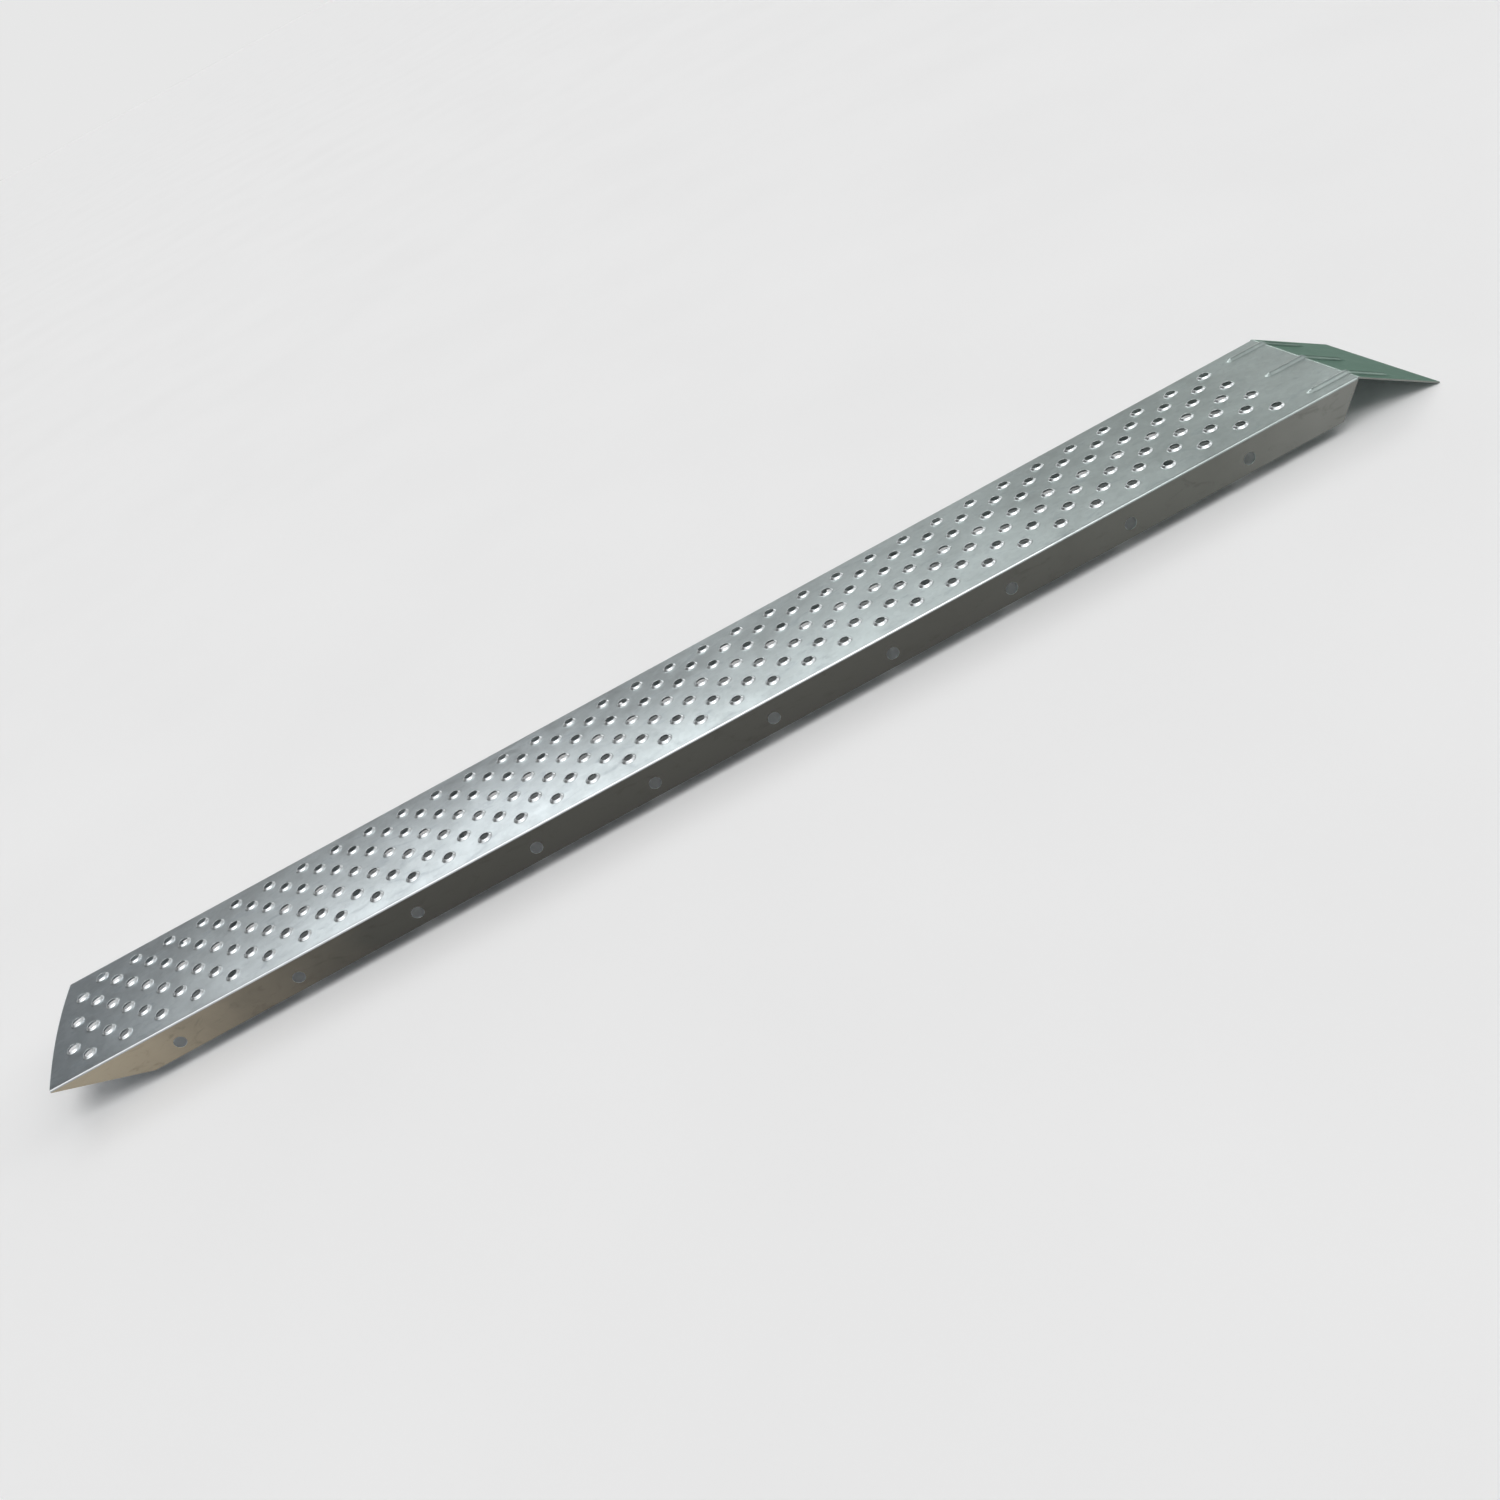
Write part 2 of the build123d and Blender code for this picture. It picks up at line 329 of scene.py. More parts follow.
edge_v = [V_T + 4.2, V_T + 9.6, V_E]                     # outside the tiles
all_v = sorted([-w for w in edge_v] + fine + edge_v)
foot_cols = {round(v, 4): [foot_u(v)] + [foot_u(v) + (U_A - foot_u(v)) * f for f in (0.35, 0.7)] + [U_A]
             for v in all_v}


def at_foot(v, i):
    return at(foot_cols[round(v, 4)][i], v)


for v0, v1 in zip(fine, fine[1:]):
    for i in range(3):
        both((at_foot(v0, i), at_foot(v0, i + 1), at_foot(v1, i + 1), at_foot(v1, i)))

mid_u = (U_BEND + U_LIP) / 2
bead_a, bead_b = mid_u - BEAD_DECK, mid_u + BEAD_LIP
late_u = [U_Z, bead_a - 14, bead_a - 5]
late_u += [bead_a - 5 + 1.4 * i for i in range(1, 13)]
late_u += list(np.linspace(late_u[-1], U_BEND, 7)[1:])
i_bend = len(late_u) - 1
late_u += [U_BEND + (U_LIP - U_BEND) * i / 8 for i in range(1, 9)]
i_lip = len(late_u) - 1
late_u += list(np.linspace(U_LIP, bead_b - 22, 7)[1:])
late_u += [bead_b - 22 + 2.2 * i for i in range(1, 12)]
late_u += list(np.linspace(late_u[-1], U_END - 0.2, 5)[1:])
late_u = [round(float(w), 5) for w in late_u]

late_v = [fine[0]]
for v0, v1 in zip(fine, fine[1:]):
    near = any(v0 < vb + 9.3 and v1 > vb - 9.3 for _, vb in BEADS)
    cuts = 4 if near else 1
    late_v += [round(v0 + (v1 - v0) * j / cuts, 6) for j in range(1, cuts + 1)]
# the side beads reach a little past the tiles
side_v = [V_T + 2.1, V_T + 4.2, V_T + 9.6, V_E]


def late(iu, v):
    return at(late_u[iu], v)


# the first band joins the rows' coarse points to the finer ones
for v0, v1 in zip(fine, fine[1:]):
    between = [w for w in late_v if v0 - 1e-6 < w < v1 + 1e-6]
    both([late(0, v0)] + [late(1, w) for w in between] + [late(0, v1)])
for iu in range(1, len(late_u) - 1):
    for v0, v1 in zip(late_v, late_v[1:]):
        both((late(iu, v0), late(iu + 1, v0), late(iu + 1, v1), late(iu, v1)))

# --- the edge strips, long bends and flanges ---------------------------------
bend_angles = [TH_E + (PI / 2 - TH_E) * i / 6 for i in range(7)]


def bend_point(x, side, i):
    key = ("bend", side, round(x, 3), i)
    if key not in points:
        t = bend_angles[i]
        y, z = HALF - BEND_R + BEND_R * SIN(t), Z_BEND + BEND_R * COS(t)
        n = np.array([0.0, side * SIN(t), COS(t)])
        points[key] = pair(np.array([x, side * y, z]), n)
    return points[key]


for side in (1, -1):
    def quad(a, b, c, d):
        both((a, b, c, d) if side > 0 else (d, c, b, a))

    def poly(low, high):
        """low and high run along +u, low nearer the middle."""
        ring = list(low) + list(high)[::-1]
        both(ring if side > 0 else ring[::-1])

    # stations along the deck, each with its own u for every lateral line
    rows_u = [U_A + i * ROW_P for i in range(ROWS + 1)]
    stations = ([("foot", i) for i in range(3)] + [("row", u) for u in rows_u]
                + [("late", i) for i in range(1, i_bend + 1)])

    def st(s, v):
        kind, value = s
        if kind == "foot":
            return at_foot(side * v, value)
        if kind == "row":
            return at(value, side * v)
        return late(value, side * v)

    def st_x(s, v):
        kind, value = s
        u = {"foot": lambda: foot_cols[round(side * v, 4)][value], "row": lambda: value,
             "late": lambda: late_u[value]}[kind]()
        return X0 + u

    for s0, s1 in zip(stations, stations[1:]):
        if s0[0] == "row" and s1[0] == "row":
            us = [s0[1] + ROW_P * i / SIDE for i in range(SIDE + 1)]
            poly([at(u, side * V_T) for u in us], [st(s0, edge_v[0]), st(s1, edge_v[0])])
            lines = edge_v
        elif s0[0] == "late" or s1[0] == "late":
            lines = [V_T] + side_v
            if s0[0] == "row":
                # coarse on the row side, finer beyond it
                ring = [st(s0, V_T), st(s1, V_T), st(s1, side_v[0]), st(s1, edge_v[0]), st(s0, edge_v[0])]
                both(ring if side > 0 else ring[::-1])
                lines = edge_v
        else:
            lines = [V_T] + edge_v
        for v0, v1 in zip(lines, lines[1:]):
            quad(st(s0, v0), st(s1, v0), st(s1, v1), st(s0, v1))
        # the long bend, down to the flange
        x0, x1 = st_x(s0, V_E), st_x(s1, V_E)
        first = [st(s0, V_E)] + [bend_point(x0, side, i) for i in range(1, 7)]
        last = [st(s1, V_E)] + [bend_point(x1, side, i) for i in range(1, 7)]
        for i in range(6):
            quad(first[i], last[i], last[i + 1], first[i + 1])

    # the lip's square edge, beyond where the bend stops
    for iu in range(i_bend, len(late_u) - 1):
        lines = [V_T] + side_v + [V_LIP - 0.2]
        for v0, v1 in zip(lines, lines[1:]):
            quad(late(iu, side * v0), late(iu + 1, side * v0),
                 late(iu + 1, side * v1), late(iu, side * v1))

    # the flange: its outline and its holes, triangulated flat
    top_x = [st_x(s, V_E) for s in stations]
    top_ids = [bend_point(x, side, 6) for x in top_x]
    z_top = Z_BEND
    left = []
    x_taper, z_low = X0 + TAPER, ZB + 0.2
    slope_points = 10
    for i in range(1, slope_points + 1):
        f = i / slope_points
        left.append((top_x[0] + (x_taper - top_x[0]) * f, z_top + (z_low - z_top) * f))
    bottom = [(x, z_low) for x in np.linspace(x_taper, XF - SLANT, 62)[1:]]
    x_end = top_x[-1]
    right = [(XF - SLANT + (x_end - (XF - SLANT)) * f, z_low + (z_top - z_low) * f)
             for f in (0.25, 0.5, 0.75)]
    outline = [(x, z_top) for x in top_x][::-1] + left + bottom + right
    ids = top_ids[::-1]
    n = np.array([0.0, float(side), 0.0])
    for x, z in left + bottom + right:
        ids.append(pair(np.array([x, side * HALF, z]), n))
    pts = list(outline)
    edges = [(i, (i + 1) % len(outline)) for i in range(len(outline))]
    holes = []
    for k in range(FH_N):
        cx, cz = X0 + FH_0 + k * FH_P, ZD - FH_DROP
        start = len(pts)
        for j in range(40):
            t = 2 * PI * j / 40
            x, z = cx + (FH_R - 0.02) * COS(t), cz + (FH_R - 0.02) * SIN(t)
            pts.append((x, z))
            ids.append(pair(np.array([x, side * HALF, z]), n))
        edges += [(start + j, start + (j + 1) % 40) for j in range(40)]
        # a loose ring of points keeps the triangles even round the hole
        for j in range(16):
            t = 2 * PI * (j + 0.5) / 16
            x, z = cx + 13.0 * COS(t), cz + 13.0 * SIN(t)
            pts.append((x, z))
            ids.append(pair(np.array([x, side * HALF, z]), n))
        holes.append((cx, cz))
    res = delaunay_2d_cdt([Vector(p) for p in pts], edges, [], 1, 1e-5)
    back = {}
    for new, olds in enumerate(res[3]):
        for o in olds:
            back[new] = ids[o]
            break
    used = 0
    for f in res[2]:
        c = sum((res[0][i] for i in f), Vector((0, 0))) / len(f)
        if any((c.x - hx) ** 2 + (c.y - hz) ** 2 < (FH_R - 0.05) ** 2 for hx, hz in holes):
            continue
        tri = [back[i] for i in f]
        # faces come counter-clockwise in (x, z), which looks along -Y
        both(tri[::-1] if side > 0 else tri)
        used += 1

# --- the sheared rim: every open edge closed with a softened edge ------------
count = {}
for f in outer_faces:
    for a, b in zip(f, f[1:] + f[:1]):
        count[(a, b)] = count.get((a, b), 0) + 1
# edges that a raised hole's tile already closes
closed = set()
for f in sheet.faces:
    for a, b in zip(f, f[1:] + f[:1]):
        closed.add((a, b))
rim = [(a, b) for (a, b) in count if (b, a) not in closed]
nxt, prv = {}, {}
for a, b in rim:
    nxt.setdefault(a, []).append(b)
    prv.setdefault(b, []).append(a)
co = sheet.co


def outward(a, b):
    e = unit(co[b] - co[a])
    n = unit(sheet.no[a] + sheet.no[b])
    return unit(np.cross(e, n))


out_of = {(a, b): outward(a, b) for a, b in rim}
rim_cache = {}


def rim_points(v, before, after):
    key = (v, before, after)
    if key not in rim_cache:
        o1, o2 = out_of[(before, v)], out_of[(v, after)]
        d = float(np.clip(o1 @ o2, -0.2, 1))
        o = (o1 + o2) / (1 + d)
        n = sheet.no[v]
        top, low = co[v], co[pair_in[v]]
        rim_cache[key] = (sheet.point(top + o * EDGE_R * 0.7 - n * EDGE_R, unit(o)),
                          sheet.point(low + o * EDGE_R * 0.7 + n * EDGE_R, unit(o)),
                          unit(o) if d > 0.8 else None)
    return rim_cache[key]


for a, b in rim:
    pa = [p for p in prv[a]]
    nb = [p for p in nxt[b]]
    a_pts, b_pts = rim_points(a, pa[0], b), rim_points(b, a, nb[0])
    o = out_of[(a, b)]
    na = a_pts[2] if a_pts[2] is not None else o
    nb_ = b_pts[2] if b_pts[2] is not None else o
    ta, tb = sheet.no[a], sheet.no[b]
    sheet.face((b, a, a_pts[0], b_pts[0]), [unit(tb + nb_ * 0.4), unit(ta + na * 0.4), na, nb_])
    sheet.face((b_pts[0], a_pts[0], a_pts[1], b_pts[1]), [nb_, na, na, nb_])
    sheet.face((b_pts[1], a_pts[1], pair_in[a], pair_in[b]),
               [nb_, na, unit(-ta + na * 0.4), unit(-tb + nb_ * 0.4)])


# ---------------------------------------------------------------------------
# materials
# ---------------------------------------------------------------------------
def material(name):
    m = bpy.data.materials.new(name)
    m.use_nodes = True
    nt = m.node_tree
    bsdf = next(n for n in nt.nodes if n.type == "BSDF_PRINCIPLED")
    return m, nt, bsdf


def node(nt, kind, **settings):
    n = nt.nodes.new(kind)
    for k, v in settings.items():
        if k in n.inputs:
            n.inputs[k].default_value = v
        else:
            setattr(n, k, v)
    return n


def ramp(nt, src, stops):
    r = nt.nodes.new("ShaderNodeValToRGB")
    els = r.color_ramp.elements
    while len(els) < len(stops):
        els.new(0.5)
    for e, (pos, c) in zip(els, stops):
        e.position = pos
        e.color = (*c, 1) if isinstance(c, tuple) else (c, c, c, 1)
    nt.links.new(src, r.inputs[0])
    return r.outputs[0]


def math_node(nt, op, a, b=None, c=None):
    n = nt.nodes.new("ShaderNodeMath")
    n.operation = op
    for i, v in enumerate((a, b, c)):
        if v is None:
            continue
        if isinstance(v, (int, float)):
            n.inputs[i].default_value = v
        else:
            nt.links.new(v, n.inputs[i])
    return n.outputs[0]


def ranged(nt, src, lo, hi, to_lo=0.0, to_hi=1.0):
    n = nt.nodes.new("ShaderNodeMapRange")
    nt.links.new(src, n.inputs["Value"])
    for k, v in (("From Min", lo), ("From Max", hi), ("To Min", to_lo), ("To Max", to_hi)):
        n.inputs[k].default_value = v
    return n.outputs[0]


def blend(nt, factor, a, b, mode="MIX"):
    n = nt.nodes.new("ShaderNodeMix")
    n.data_type, n.blend_type = "RGBA", mode
    for i, v in ((0, factor), (6, a), (7, b)):
        if isinstance(v, (int, float)):
            n.inputs[i].default_value = v
        elif isinstance(v, tuple):
            n.inputs[i].default_value = (*v, 1)
        else:
            nt.links.new(v, n.inputs[i])
    return n.outputs[2]


def stretched(nt, vec, scale):
    n = nt.nodes.new("ShaderNodeMapping")
    nt.links.new(vec, n.inputs["Vector"])
    n.inputs["Scale"].default_value = scale
    return n.outputs[0]


def noise_of(nt, vec, scale, detail=4.0, rough=0.55, distort=0.0):
    n = nt.nodes.new("ShaderNodeTexNoise")
    nt.links.new(vec, n.inputs["Vector"])
    n.inputs["Scale"].default_value = scale
    n.inputs["Detail"].default_value = detail
    n.inputs["Roughness"].default_value = rough
    n.inputs["Distortion"].default_value = distort
    return n.outputs["Fac"]


def galvanised(name, tint=(1, 1, 1), rough=(0.28, 0.44), sheet_metal=False, ripple=0.00012):
    m, nt, b = material(name)
    L = nt.links.new
    b.inputs["Metallic"].default_value = 1.0
    tc = nt.nodes.new("ShaderNodeTexCoord")
    obj = tc.outputs["Object"]
    cloud = noise_of(nt, obj, 8.0, 5.0, 0.6, 0.4)
    smear = noise_of(nt, stretched(nt, obj, (1.0, 2.2, 2.2)), 26.0, 6.0, 0.62, 1.2)
    grain = noise_of(nt, obj, 420.0, 3.0, 0.6)
    lines = noise_of(nt, stretched(nt, obj, (0.04, 1.0, 1.0)), 520.0, 2.0, 0.5)
    spangle = nt.nodes.new("ShaderNodeTexVoronoi")
    L(obj, spangle.inputs["Vector"])
    spangle.inputs["Scale"].default_value = 150.0
    cell = nt.nodes.new("ShaderNodeSeparateXYZ")
    L(spangle.outputs["Color"], cell.inputs[0])
    base = (0.490, 0.541, 0.560)
    tones = [tuple(x * t * k for x, t in zip(base, tint)) for k in (0.82, 0.99, 1.16)]
    colour = ramp(nt, cloud, [(0.32, tones[0]), (0.5, tones[1]), (0.70, tones[2])])
    # hand and oil smudges, darker and bluer
    pos = nt.nodes.new("ShaderNodeSeparateXYZ")
    L(obj, pos.inputs[0])
    smudge = ranged(nt, smear, 0.56, 0.70)
    worn = ranged(nt, pos.outputs["X"], -0.78, -1.0, 0.0, 0.45 if sheet_metal else 0.0)
    colour = blend(nt, math_node(nt, "MULTIPLY_ADD", smudge, 0.42, worn), colour,
                   tuple(x * t * k for x, t, k in zip(base, tint, (0.62, 0.66, 0.72))))
    # zinc spangle, barely there
    colour = blend(nt, 0.10, colour, ramp(nt, cell.outputs["X"], [(0.0, 0.30), (1.0, 0.72)]), "MIX")
    rough_out = math_node(nt, "ADD", math_node(nt, "MULTIPLY", smear, 0.85),
                          math_node(nt, "MULTIPLY", grain, 0.15))
    rough_out = ranged(nt, rough_out, 0.34, 0.66, rough[0], rough[1])
    if sheet_metal:
        # painted reflection: the colour turns greener toward the lip, as if reflecting green surroundings
        green_reflection_share = ranged(nt, pos.outputs["X"], -0.3, 0.9)
        colour = blend(nt, green_reflection_share, colour, blend(nt, 1.0, colour, (0.98, 1.038, 0.968), "MULTIPLY"))
        # the lip's upper face gets a grey-green painted reflection, in its colour and in its specular tint
        normal = nt.nodes.new("ShaderNodeSeparateXYZ")
        L(tc.outputs["Normal"], normal.inputs[0])
        on_lip = math_node(nt, "MULTIPLY", ranged(nt, pos.outputs["X"], 0.8845, 0.892),
                           ranged(nt, normal.outputs["Z"], 0.0, 0.5))
        lip_painted_reflection = ramp(nt, smear, [(0.35, (0.150, 0.206, 0.178)), (0.65, (0.198, 0.262, 0.228))])
        # painted reflection laid onto the lip's top face
        colour = blend(nt, math_node(nt, "MULTIPLY", on_lip, 0.85), colour, lip_painted_reflection)
        L(blend(nt, on_lip, (1.0, 1.0, 1.0), (0.37, 0.52, 0.445)), b.inputs["Specular Tint"])
        # painted shade on the folded sides' outer faces: dark along the middle, a painted brown reflection
        # toward the foot, lighter again toward the lip; the smudges darken it a little more
        side = math_node(nt, "MULTIPLY",
                         ranged(nt, math_node(nt, "ABSOLUTE", normal.outputs["Y"]), 0.93, 0.995),
                         ranged(nt, math_node(nt, "ABSOLUTE", pos.outputs["Y"]), 0.1142, 0.1148))
        along = math_node(nt, "ADD", ranged(nt, pos.outputs["X"], -1.0, 1.0),
                          math_node(nt, "MULTIPLY_ADD", cloud, 0.10, -0.05))
        painted_flange_shade = ramp(nt, along, [(0.02, (0.40, 0.35, 0.266)), (0.07, (0.36, 0.314, 0.24)),
                                (0.15, (0.186, 0.168, 0.135)), (0.24, (0.087, 0.086, 0.077)),
                                (0.66, (0.105, 0.105, 0.095)), (0.83, (0.157, 0.162, 0.146)),
                                (0.92, (0.24, 0.246, 0.228))])
        painted_flange_shade = blend(nt, math_node(nt, "MULTIPLY", smudge, 0.25), painted_flange_shade, (0.055, 0.05, 0.042))
        # the painted shade and reflection replace the colour on the flanges' outer faces
        colour = blend(nt, side, colour, painted_flange_shade)
        # painted highlight: a lighter colour on the top of the outer long bends, strongest toward the foot, and
        # on the collars' flanks short of the lip
        lean = math_node(nt, "ABSOLUTE", normal.outputs["Y"])
        out = math_node(nt, "ABSOLUTE", pos.outputs["Y"])
        bend_highlight_mask = math_node(nt, "MULTIPLY",
                          math_node(nt, "MULTIPLY", ranged(nt, lean, 0.20, 0.40), ranged(nt, lean, 0.985, 0.93)),
                          math_node(nt, "MULTIPLY", ranged(nt, out, 0.1118, 0.1126),
                                    ranged(nt, normal.outputs["Z"], 0.0, 0.15)))
        collar_highlight_mask = math_node(nt, "MULTIPLY",
                            math_node(nt, "MULTIPLY", ranged(nt, normal.outputs["Z"], 0.95, 0.84),
                                      ranged(nt, normal.outputs["Z"], 0.20, 0.40)),
                            math_node(nt, "MULTIPLY", ranged(nt, out, 0.1116, 0.1108),
                                      ranged(nt, pos.outputs["X"], 0.81, 0.80)))
        painted_highlight = blend(nt, cloud, (0.78, 0.815, 0.83), (0.90, 0.925, 0.935))
        bend_highlight_mask = math_node(nt, "MULTIPLY", bend_highlight_mask, ranged(nt, pos.outputs["X"], 0.60, 0.25, 0.1, 1.0))
        # the painted highlight is mixed in on the bends and collars
        colour = blend(nt, math_node(nt, "MULTIPLY", math_node(nt, "MAXIMUM", bend_highlight_mask, collar_highlight_mask), 0.85),
                       colour, painted_highlight)
    L(colour, b.inputs["Base Color"])
    L(rough_out, b.inputs["Roughness"])
    # long soft waves from punching and folding, fine rolling lines, zinc grain
    waves = noise_of(nt, obj, 30.0, 1.5, 0.4)
    b1 = nt.nodes.new("ShaderNodeBump")
    b1.inputs["Strength"].default_value = 1.0
    b1.inputs["Distance"].default_value = ripple
    L(waves, b1.inputs["Height"])
    b2 = nt.nodes.new("ShaderNodeBump")
    b2.inputs["Strength"].default_value = 0.25
    b2.inputs["Distance"].default_value = 0.00003
    L(math_node(nt, "ADD", grain, lines), b2.inputs["Height"])
    L(b1.outputs[0], b2.inputs["Normal"])
    L(b2.outputs[0], b.inputs["Normal"])
    return m


sheet_mat = galvanised("galvanised_sheet", rough=(0.28, 0.38), sheet_metal=True)
bar_mat = galvanised("galvanised_bar", tint=(0.93, 0.92, 0.90), rough=(0.36, 0.52), ripple=0.0001)
weld_mat = galvanised("galvanised_weld", tint=(0.84, 0.80, 0.77), rough=(0.38, 0.56), ripple=0.0002)

ramp_obj = sheet.object("ramp_sheet", sheet_mat)
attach(ramp_obj, "root")
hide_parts("ramp_channel")



# ---------------------------------------------------------------------------
# the cross braces and their welds, on the same places as the CAD ones
# ---------------------------------------------------------------------------
def solid(name, verts, faces, material, sharp=35.0):
    me = bpy.data.meshes.new(name)
    me.from_pydata([tuple(c / 1000.0 for c in v) for v in verts], [], faces)
    me.update()
    me.shade_smooth()
    me.set_sharp_from_angle(angle=math.radians(sharp))
    me.update()
    ob = bpy.data.objects.new(name, me)
    bpy.context.scene.collection.objects.link(ob)
    me.materials.append(material)
    return ob


def inset(poly, d):
    """A counter-clockwise outline moved inward by d."""
    out = []
    for i, p in enumerate(poly):
        a, b = np.array(poly[i - 1]), np.array(poly[(i + 1) % len(poly)])
        p = np.array(p)
        e1, e2 = unit(p - a), unit(b - p)
        n1, n2 = np.array([-e1[1], e1[0]]), np.array([-e2[1], e2[0]])
        m = (n1 + n2) / (1 + float(n1 @ n2))
        out.append(tuple(p + m * d))
    return out


rng = random.Random(893)
low, edge, side_z = ZD - BRACE_DROP, INNER - 6.0, ZD - SHEET - 6.0
r_in = R - SHEET - 0.02
t_edge = math.asin(edge / r_in)
crown_arc = [(r_in * SIN(t), ZC + r_in * COS(t)) for t in np.linspace(t_edge, -t_edge, 33)]
outline = [(-INNER, low), (INNER, low), (INNER, side_z)] + crown_arc + [(-INNER, side_z)]
for number, x in enumerate(brace_x, start=1):
    # rolled flat bar: rounded arrises
    steps = [(-1.5, 0.45), (-1.37, 0.14), (-1.05, 0.0), (1.05, 0.0), (1.37, 0.14), (1.5, 0.45)]
    verts, faces = [], []
    n = len(outline)
    for dx, d in steps:
        verts += [(x + dx, y, z) for y, z in (inset(outline, d) if d else outline)]
    for j in range(len(steps) - 1):
        for k in range(n):
            a0, a1 = j * n + k, j * n + (k + 1) % n
            faces.append((a0, a1, a1 + n, a0 + n))
    faces.append(tuple(range(n - 1, -1, -1)))
    faces.append(tuple((len(steps) - 1) * n + k for k in range(n)))
    ob = solid(f"brace_{number}", verts, faces, bar_mat)
    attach(ob, "root")
    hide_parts(f"cross_brace_{number}")


def bead(origin, along, leg_a, leg_b, length, leg, verts, faces):
    """A hand-laid fillet: legs on two faces, rippled along its length."""
    origin, along = np.array(origin, float), np.array(along, float)
    leg_a, leg_b = np.array(leg_a, float), np.array(leg_b, float)
    count = max(int(length / 0.75), 8)
    phase, pitch = rng.uniform(0, 6.28), rng.uniform(1.9, 2.3)
    wander = [rng.uniform(-0.05, 0.05) for _ in range(8)]
    base = len(verts)
    arc = 7
    for j in range(count + 1):
        f = j / count
        t = f * length
        end = min(t, length - t)
        swell = math.sqrt(max(1 - (1 - min(end / 2.6, 1)) ** 2, 0.02))
        ripple = 0.035 * COS(2 * PI * t / pitch + phase)
        w = f * 7
        i = min(int(w), 6)
        drift = wander[i] * (1 - (w - i)) + wander[i + 1] * (w - i)
        s = leg * 0.93 * swell * (1 + ripple + drift)
        bow = 0.56 + 0.02 * COS(2 * PI * t / pitch + phase)
        centre = origin + along * (t - length / 2)
        # corner, then the convex face from one leg to the other; the ripple's
        # crest is dragged back toward the middle of the bead
        ring = [centre]
        for q in range(arc + 1):
            g = q / arc
            lag = 0.55 * SIN(PI * g) * swell
            u0, v0 = 1 - g, g
            push = 4 * (bow - 0.5) * u0 * v0 * 2
            ring.append(centre + along * (-lag) + s * (leg_a * (u0 + push) + leg_b * (v0 + push)))
        verts.extend([tuple(p) for p in ring])
    m = arc + 2
    flip = float(np.cross(leg_a, leg_b) @ along) < 0
    for j in range(count):
        for k in range(m):
            a0, a1 = base + j * m + k, base + j * m + (k + 1) % m
            f = (a0, a1, a1 + m, a0 + m)
            faces.append(f[::-1] if flip else f)
    e0, e1 = tuple(base + k for k in range(m)), tuple(base + count * m + k for k in range(m))
    faces.append(e0 if flip else e0[::-1])
    faces.append(e1[::-1] if flip else e1)


for side_name, sign in (("left", 1), ("right", -1)):
    verts, faces = [], []
    for x in brace_x:
        zc = ZD - BRACE_DROP + 2.5 + 10.0 + rng.uniform(-0.4, 0.4)
        bead((x - 1.45, sign * (INNER + 0.05), zc), (0, 0, 1), (-1, 0, 0), (0, -sign, 0),
             19.2 + rng.uniform(-0.6, 0.4), 4.0, verts, faces)
    ob = solid(f"welds_{side_name}", verts, faces, weld_mat, 60.0)
    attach(ob, "root")
    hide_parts(f"brace_welds_{side_name}")

verts, faces = [], []
for row, x in zip(brace_rows, brace_x):
    for column in ((-1, 1) if row % 2 == 0 else (-2, 0, 2)):
        t = column * STEP
        c = (x - 1.45, (R - SHEET) * SIN(t), ZC + (R - SHEET) * COS(t) + 0.05)
        bead(c, (0, COS(t), -SIN(t)), (-1, 0, 0), (0, -SIN(t), -COS(t)),
             21.2 + rng.uniform(-0.8, 0.5), 4.0, verts, faces)
ob = solid("welds_deck", verts, faces, weld_mat, 60.0)
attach(ob, "root")
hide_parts("brace_welds_deck")

# ---------------------------------------------------------------------------
# stage, light and camera
# ---------------------------------------------------------------------------
WORLD_LOW, WORLD_HIGH = 0.80, 0.06
stage_mat, nt, b = material("studio_floor")
noise = node(nt, "ShaderNodeTexNoise", Scale=2.0, Detail=2.0)
L = nt.links.new
tc = nt.nodes.new("ShaderNodeTexCoord")
L(tc.outputs["Object"], noise.inputs["Vector"])
L(ramp(nt, noise.outputs["Fac"], [(0.3, 0.93), (0.7, 0.95)]), b.inputs["Base Color"])
b.inputs["Roughness"].default_value = 0.9
b.inputs["Specular IOR Level"].default_value = 0.1

me = bpy.data.meshes.new("floor")
ring_r = [0.0, 0.6, 1.4, 3.0, 6.0, 12.0, 24.0, 60.0]
verts, faces = [(0.0, 0.0, 0.0)], []
for r in ring_r[1:]:
    verts += [(r * COS(2 * PI * k / 64), r * SIN(2 * PI * k / 64), 0.0) for k in range(64)]
for k in range(64):
    faces.append((0, 1 + k, 1 + (k + 1) % 64))
for j in range(len(ring_r) - 2):
    for k in range(64):
        a0, b0 = 1 + 64 * j + k, 1 + 64 * j + (k + 1) % 64
        faces.append((a0, a0 + 64, b0 + 64, b0))
me.from_pydata(verts, [], faces)
floor = bpy.data.objects.new("floor", me)
bpy.context.scene.collection.objects.link(floor)
me.materials.append(stage_mat)

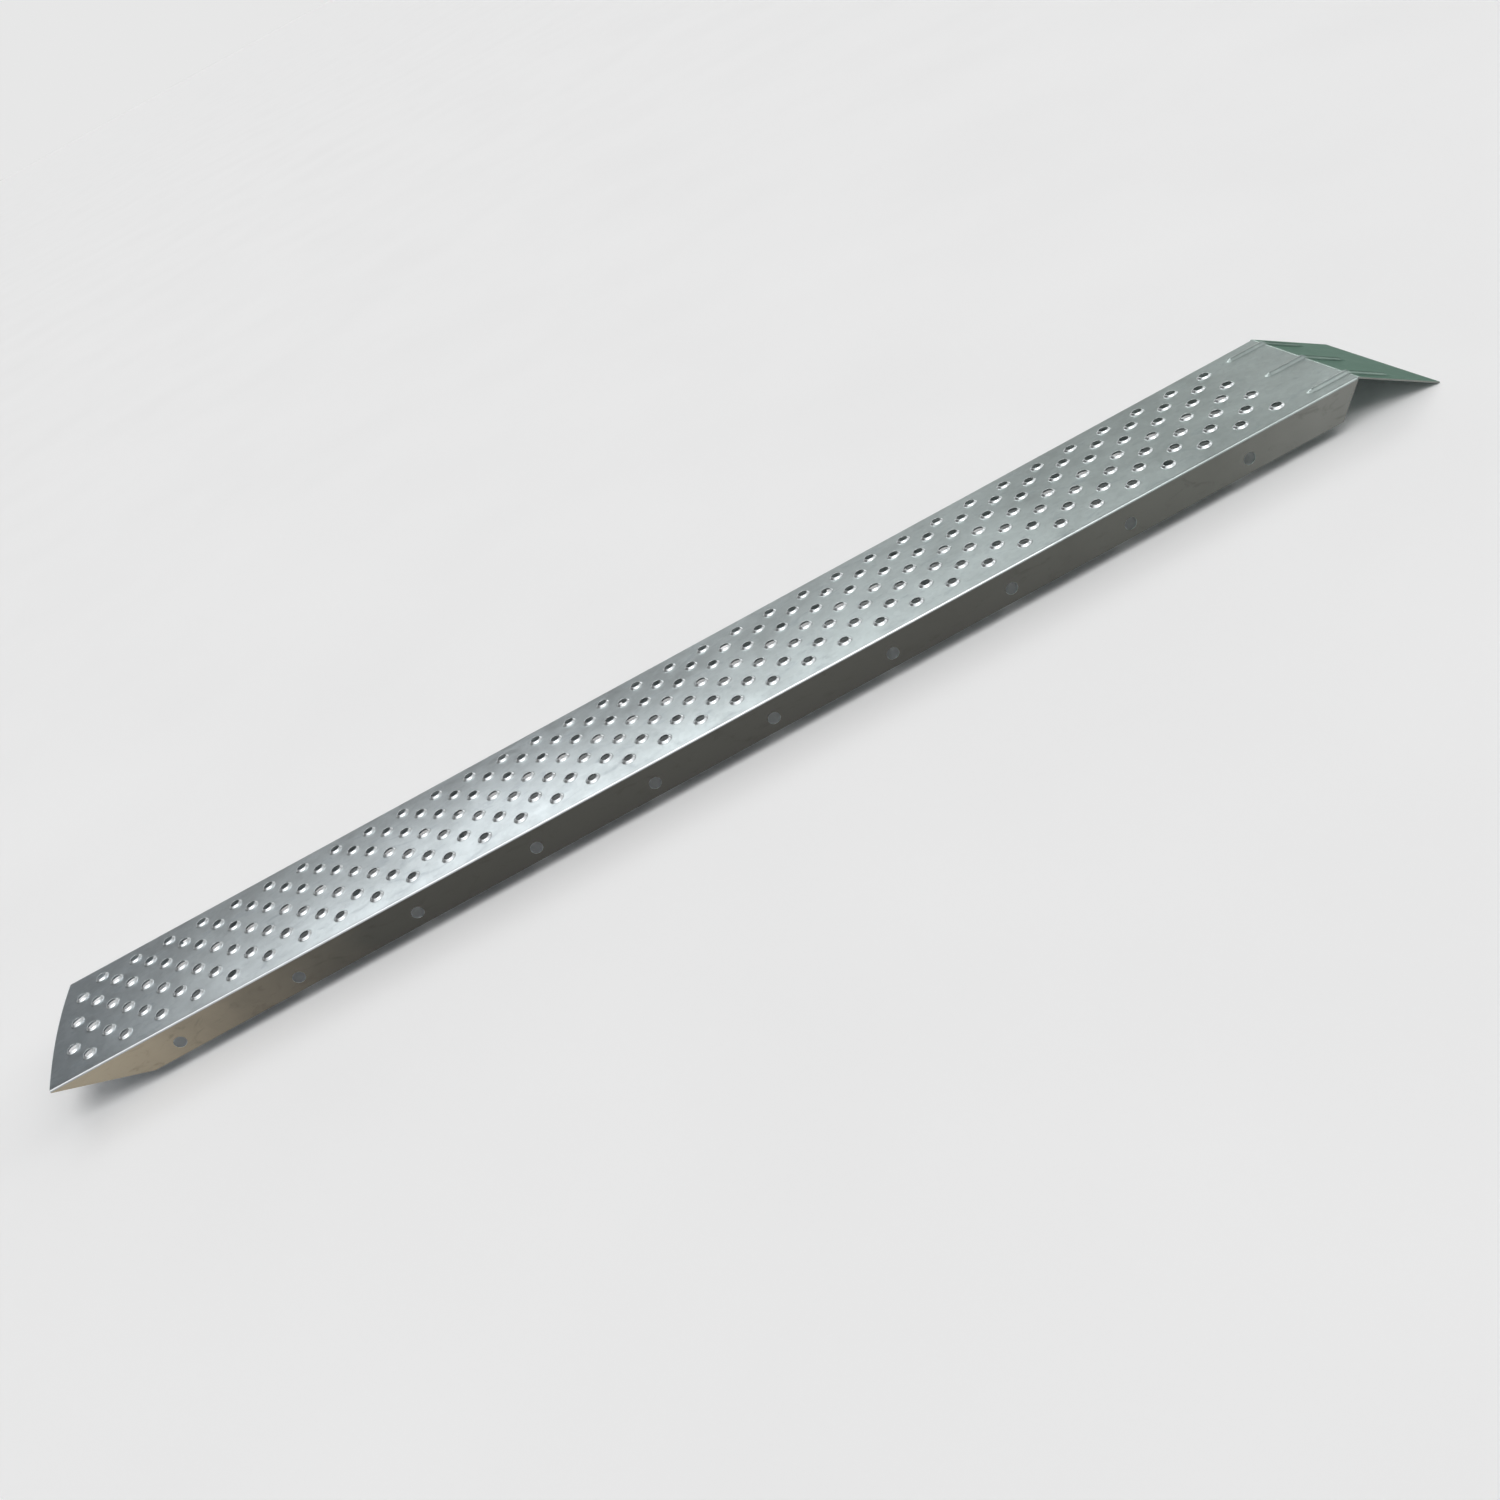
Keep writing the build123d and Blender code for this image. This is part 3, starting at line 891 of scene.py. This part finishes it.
world = bpy.data.worlds.new("studio")
bpy.context.scene.world = world
world.use_nodes = True
wt = world.node_tree
bg = wt.nodes["Background"]
tc = wt.nodes.new("ShaderNodeTexCoord")
sep = wt.nodes.new("ShaderNodeSeparateXYZ")
wt.links.new(tc.outputs["Generated"], sep.inputs[0])
band = ramp(wt, sep.outputs["Z"], [(0.0, WORLD_LOW), (0.07, WORLD_LOW), (0.14, 0.48), (0.24, 0.20),
                                 (0.40, WORLD_HIGH)])
wt.links.new(band, bg.inputs["Color"])
bg.inputs["Strength"].default_value = 1.0


def soft_light(name, azimuth, elevation, spread, power, colour=(1, 1, 1)):
    """A wide, distant studio light; azimuth 0 is behind the ramp, on +Y."""
    li = bpy.data.lights.new(name, "SUN")
    li.angle = math.radians(spread)
    li.energy = power
    li.color = colour
    ob = bpy.data.objects.new(name, li)
    bpy.context.scene.collection.objects.link(ob)
    a, e = math.radians(azimuth), math.radians(elevation)
    toward = Vector((SIN(a) * COS(e), COS(a) * COS(e), SIN(e)))
    ob.rotation_euler = (-toward).to_track_quat("-Z", "Y").to_euler()
    return ob


soft_light("top_front", 172, 66, 40, 0.92)
soft_light("front_left", -118, 56, 42, 0.52)
soft_light("front_right", 138, 48, 50, 0.45)
soft_light("side_right", 80, 45, 40, 0.24)
soft_light("back_high", 0, 66, 34, 0.22)
soft_light("back_left", -12, 42, 24, 0.29)
soft_light("back_right", 12, 42, 24, 0.15)
soft_light("back_far_right", 35, 28, 24, 0.065)
soft_light("back_low", 12, 14, 20, 0.04)
soft_light("low_right", 37, 9, 12, 0.10)
soft_light("side_low", 86, 17, 28, 0.32)

cam_data = bpy.data.cameras.new("camera")
cam = bpy.data.objects.new("camera", cam_data)
bpy.context.scene.collection.objects.link(cam)
right = Vector((0.877817, -0.253448, -0.40645))
up = Vector((0.478995, 0.466392, 0.743668))
back_v = Vector((0.001084, -0.847492, 0.530807))
m = Matrix.Identity(4)
for i in range(3):
    m[i][0], m[i][1], m[i][2] = right[i], up[i], back_v[i]
m.translation = Vector((-0.09078, -1.64085, 0.97876))
cam.matrix_world = m
cam_data.sensor_width = 36.0
cam_data.lens = 33.854
cam_data.shift_x, cam_data.shift_y = 0.04, 0.016667
cam_data.clip_start, cam_data.clip_end = 0.05, 100
bpy.context.scene.camera = cam
bpy.context.scene.view_settings.view_transform = "Standard"

print("SHEET tris", sum(len(f) - 2 for f in sheet.faces), "rim", len(rim))
